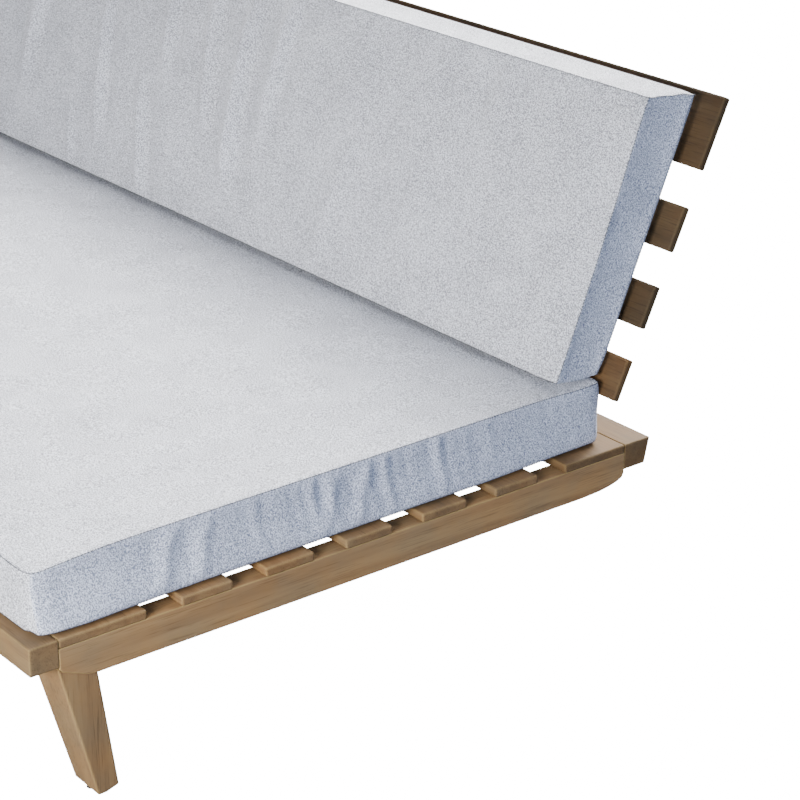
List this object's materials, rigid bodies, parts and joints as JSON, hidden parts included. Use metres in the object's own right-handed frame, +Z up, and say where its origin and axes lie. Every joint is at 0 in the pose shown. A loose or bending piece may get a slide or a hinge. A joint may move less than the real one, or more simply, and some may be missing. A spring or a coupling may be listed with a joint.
{
  "type": "daybed",
  "caption": "Low slatted wooden daybed with tapered legs, a sloping slatted back, one long seat cushion and one long back cushion.",
  "frame": {"origin": "on the floor, in the middle of the footprint", "axes": "+X along the length, towards the end with the picture's visible corner; +Y from the front to the back; +Z up"},
  "size_m": [1.95, 1.0467, 0.6602],
  "materials": {
    "washed_acacia": "acacia with a grey-brown wash, matt to satin, fine open grain, worn lighter along the top edges",
    "cushion_canvas": "light grey heathered polyester canvas, plain weave, matt",
    "foam": "open-cell cushion foam",
    "zinc_steel": "bright zinc plate",
    "black_nylon": "moulded nylon",
    "zip_nylon": "woven tape with nylon coil teeth"
  },
  "bodies": {
    "frame": {"back_slat_1": "washed_acacia", "back_slat_2": "washed_acacia", "back_slat_3": "washed_acacia", "back_slat_4": "washed_acacia", "back_stile_centre": "washed_acacia", "back_stile_left": "washed_acacia", "back_stile_right": "washed_acacia", "bearer_centre": "washed_acacia", "bearer_left": "washed_acacia", "bearer_right": "washed_acacia", "front_leg_bolt_centre_1": "zinc_steel", "front_leg_bolt_centre_2": "zinc_steel", "front_leg_bolt_left_1": "zinc_steel", "front_leg_bolt_left_2": "zinc_steel", "front_leg_bolt_right_1": "zinc_steel", "front_leg_bolt_right_2": "zinc_steel", "front_rail": "washed_acacia", "glide_front_centre": "black_nylon", "glide_front_left": "black_nylon", "glide_front_right": "black_nylon", "glide_rear_centre": "black_nylon", "glide_rear_left": "black_nylon", "glide_rear_right": "black_nylon", "leg_and_stile_bolt_centre": "zinc_steel", "leg_and_stile_bolt_left": "zinc_steel", "leg_and_stile_bolt_right": "zinc_steel", "leg_front_centre": "washed_acacia", "leg_front_left": "washed_acacia", "leg_front_right": "washed_acacia", "leg_rear_centre": "washed_acacia", "leg_rear_left": "washed_acacia", "leg_rear_right": "washed_acacia", "rear_leg_bolt_centre": "zinc_steel", "rear_leg_bolt_left": "zinc_steel", "rear_leg_bolt_right": "zinc_steel", "rear_rail": "washed_acacia", "seat_slat_1": "washed_acacia", "seat_slat_2": "washed_acacia", "seat_slat_3": "washed_acacia", "seat_slat_4": "washed_acacia", "seat_slat_5": "washed_acacia", "seat_slat_6": "washed_acacia", "seat_slat_7": "washed_acacia", "side_rail_left": "washed_acacia", "side_rail_right": "washed_acacia", "stile_bolt_centre": "zinc_steel", "stile_bolt_left": "zinc_steel", "stile_bolt_right": "zinc_steel"},
    "seat_cushion": {"seat_cushion_cover": "cushion_canvas", "seat_cushion_foam": "foam", "seat_cushion_zip": "zip_nylon"},
    "back_cushion": {"back_cushion_cover": "cushion_canvas", "back_cushion_foam": "foam", "back_cushion_zip": "zip_nylon"},
    "seat_zip_slider": {"seat_cushion_zip_slider": "zinc_steel"},
    "back_zip_slider": {"back_cushion_zip_slider": "zinc_steel"}
  },
  "joints": [
    {"name": "seat_cushion_lift", "type": "slide", "parent": "frame", "child": "seat_cushion", "axis": [0, 0, 1], "range_m": [0, 0.45]},
    {"name": "back_cushion_lift", "type": "slide", "parent": "seat_cushion", "child": "back_cushion", "axis": [0, 0.4226, 0.9063], "range_m": [0, 0.45]},
    {"name": "seat_zip", "type": "slide", "parent": "seat_cushion", "child": "seat_zip_slider", "axis": [1, 0, 0], "range_m": [0, 0.7]},
    {"name": "back_zip", "type": "slide", "parent": "back_cushion", "child": "back_zip_slider", "axis": [1, 0, 0], "range_m": [0, 0.7]}
  ]
}
